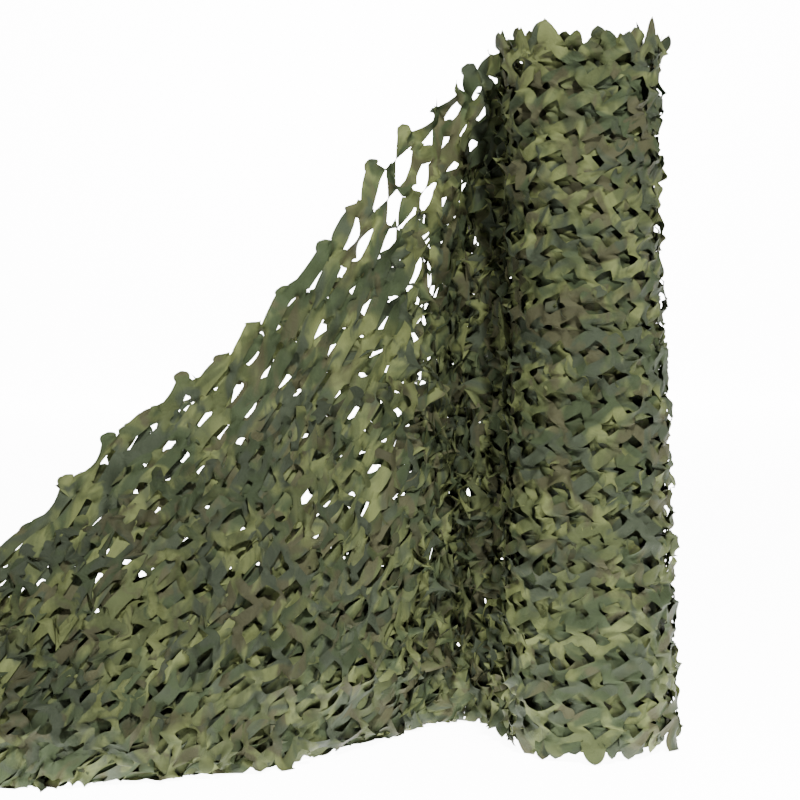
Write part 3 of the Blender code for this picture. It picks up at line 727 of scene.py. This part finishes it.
# The cloth is doubled and bunched, so leaves of it hang one behind another. Each runs from the free end to
# the roll, and from its lower edge up to its own top. Its rows lie wide at the top and closer lower down, by
# a share for each row. Beside the roll, and all along in a level leaf, they are spread evenly over the fall.
def leafSurface(leaf):
    sections = loose["sections"]

    def surface(x, y):
        fromRoll = sections["cloth"][-1] * (1.0 - x / (leaf["columns"] * cut["cellWide"]))
        along = np.interp(fromRoll, sections["cloth"], sections["along"])
        top = smoothColumn(sections, along, "along", leaf["top"])
        fall = smoothColumn(sections, along, "along", "ridgeZ")
        row = leaf["rows"] - y / cut["cellTall"]
        down = top + leaf["spacing"] * row * (1.0 - leaf["closing"] * row)
        even = top + (fall * loose["evenShare"] - top) * row / leaf["rows"]
        away = 0.0 if leaf["level"] else np.clip(along / loose["evenOver"], 0.0, 1.0)
        down = down * away + even * (1.0 - away)
        point = drape(along + leaf["later"], down)
        a, b = loose["unevenWaves"]
        behind = leaf["behind"] + leaf["uneven"] * np.sin(a * along + b * down)
        farther = np.clip((along - loose["fartherFrom"]) / loose["fartherOver"], 0.0, 1.0)
        behind = behind + leaf["fartherOut"] * farther
        point[..., 1] += behind * np.clip((along - loose["apartFrom"]) / loose["apartOver"], 0.0, 1.0)
        return point
    return surface


for leaf in loose["leaves"]:
    columns = leaf["columns"]
    net = cutNet(columns, leaf["rows"], leaf["seed"], loose["tipSize"], leaf["halfWidths"],
                 loose["blunt"], loose["fuller"])
    net["printShift"] = leaf["shift"]
    points = layNet(net, leafSurface(leaf), {**loose["laid"], **leaf["laid"]})
    points[:, 2] = np.maximum(points[:, 2], cut["lowest"])
    # the level front leaf takes the copy darkened as painted shade
    material = shadedLowMaterial if leaf["level"] else looseMaterial
    piece = makeNet(leaf["name"], net, points, material)
    if leaf["name"] == "loose_net":
        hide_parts("netting_loose_end")

# floor, light and camera
stage = {
    "floorSize": 14.0, "floorFront": -9.0, "floorDepth": 19.5, "floorRows": 80,
    "curveAt": 7.5, "curveRadius": 1.5, "wallSteep": 3.0,
    "floorColour": (0.90, 0.90, 0.90, 1), "floorRough": 0.9,
    "floorGlow": 11.0, "glowFrom": -0.80, "glowTo": -0.48,          # how much it glows, and from where
    "glowMiddle": 0.4, "sideFrom": 2.3, "sideTo": 3.4, "sideGlow": 0.05,    # and where less at the sides
    "worldStrength": 0.06,
    "lamps": (                # name, place, aim, size, power
        ("key", (0.6, -3.1, 4.8), (-0.3, 0.0, 0.7), 0.4, 1120),
        ("fill", (-3.6, -3.0, 1.8), (-0.6, 0.0, 0.5), 2.5, 115),
        ("top", (1.5, -2.2, 3.4), (0.0, 0.0, 1.3), 0.5, 75),
    ),
}


# Pale matt paint that glows behind the object, by a smooth ramp with depth, and less out at the sides, by
# one with the distance from the middle.
def paintFloor():
    material = bpy.data.materials.new("pale floor")
    material.use_nodes = True
    tree = material.node_tree
    shader = tree.nodes["Principled BSDF"]
    shader.inputs["Base Color"].default_value = stage["floorColour"]
    shader.inputs["Roughness"].default_value = stage["floorRough"]
    shader.inputs["Emission Color"].default_value = (1, 1, 1, 1)
    place = addNode(tree, "ShaderNodeTexCoord")
    apart = addNode(tree, "ShaderNodeSeparateXYZ")
    tree.links.new(place.outputs["Object"], apart.inputs[0])
    ramp = addNode(tree, "ShaderNodeMapRange", interpolation_type="SMOOTHSTEP", From_Min=stage["glowFrom"],
                   From_Max=stage["glowTo"], To_Min=0.0, To_Max=stage["floorGlow"])
    tree.links.new(apart.outputs["Y"], ramp.inputs["Value"])
    aside = addNode(tree, "ShaderNodeMath", operation="ADD")
    tree.links.new(apart.outputs["X"], aside.inputs[0])
    aside.inputs[1].default_value = stage["glowMiddle"]
    away = addNode(tree, "ShaderNodeMath", operation="ABSOLUTE")
    tree.links.new(aside.outputs[0], away.inputs[0])
    sides = addNode(tree, "ShaderNodeMapRange", interpolation_type="SMOOTHSTEP", From_Min=stage["sideFrom"],
                    From_Max=stage["sideTo"], To_Min=1.0, To_Max=stage["sideGlow"])
    tree.links.new(away.outputs[0], sides.inputs["Value"])
    both = addNode(tree, "ShaderNodeMath", operation="MULTIPLY")
    tree.links.new(ramp.outputs["Result"], both.inputs[0])
    tree.links.new(sides.outputs["Result"], both.inputs[1])
    tree.links.new(both.outputs[0], shader.inputs["Emission Strength"])
    return material


# A floor that curves up far behind into a wall: flat to a depth, then a quarter circle, then upright.
def makeFloor():
    u, v = np.meshgrid(np.linspace(-1, 1, 2), np.linspace(0, 1, stage["floorRows"]))
    depth = stage["floorFront"] + v * stage["floorDepth"]
    radius = stage["curveRadius"]
    run = np.clip(depth - stage["curveAt"], 0, None)
    arc = radius - np.sqrt(np.maximum(radius**2 - np.minimum(run, radius) ** 2, 0))
    z = np.where(run < radius, arc, radius + (run - radius) * stage["wallSteep"])
    points = np.stack([u * stage["floorSize"], np.minimum(depth, stage["curveAt"] + radius), z], -1)
    ids = np.arange(u.size).reshape(u.shape)
    faces = np.stack([ids[:-1, 0], ids[:-1, 1], ids[1:, 1], ids[1:, 0]], -1)
    mesh = bpy.data.meshes.new("studio_floor")
    mesh.from_pydata(points.reshape(-1, 3).tolist(), [], faces.tolist())
    mesh.materials.append(paintFloor())
    mesh.shade_smooth()
    floor = bpy.data.objects.new("studio_floor", mesh)
    bpy.context.scene.collection.objects.link(floor)


makeFloor()
world = bpy.context.scene.world or bpy.data.worlds.new("studio")
bpy.context.scene.world = world
world.use_nodes = True
world.node_tree.nodes["Background"].inputs["Color"].default_value = (1, 1, 1, 1)
world.node_tree.nodes["Background"].inputs["Strength"].default_value = stage["worldStrength"]

for name, place, aim, size, power in stage["lamps"]:
    light = bpy.data.lights.new(name, "AREA")
    light.shape = "DISK"
    light.size = size
    light.energy = power
    lamp = bpy.data.objects.new(name, light)
    bpy.context.scene.collection.objects.link(lamp)
    lamp.location = place
    lamp.rotation_euler = (Vector(aim) - Vector(place)).to_track_quat("-Z", "Y").to_euler()

# the camera's place, degrees that it looks down, sensor, and focal length as a share of that
view = {"place": (-0.405, -5.09, 1.222), "pitch": 5.5, "sensor": 36.0, "focalShare": 2450.0 / 800.0}
camera = bpy.data.cameras.new("camera")
camera.lens = view["focalShare"] * view["sensor"]
camera.sensor_width = view["sensor"]
cameraObject = bpy.data.objects.new("camera", camera)
bpy.context.scene.collection.objects.link(cameraObject)
cameraObject.location = view["place"]
cameraObject.rotation_euler = (math.radians(90 - view["pitch"]), 0, 0)
bpy.context.scene.camera = cameraObject
print("stage set")
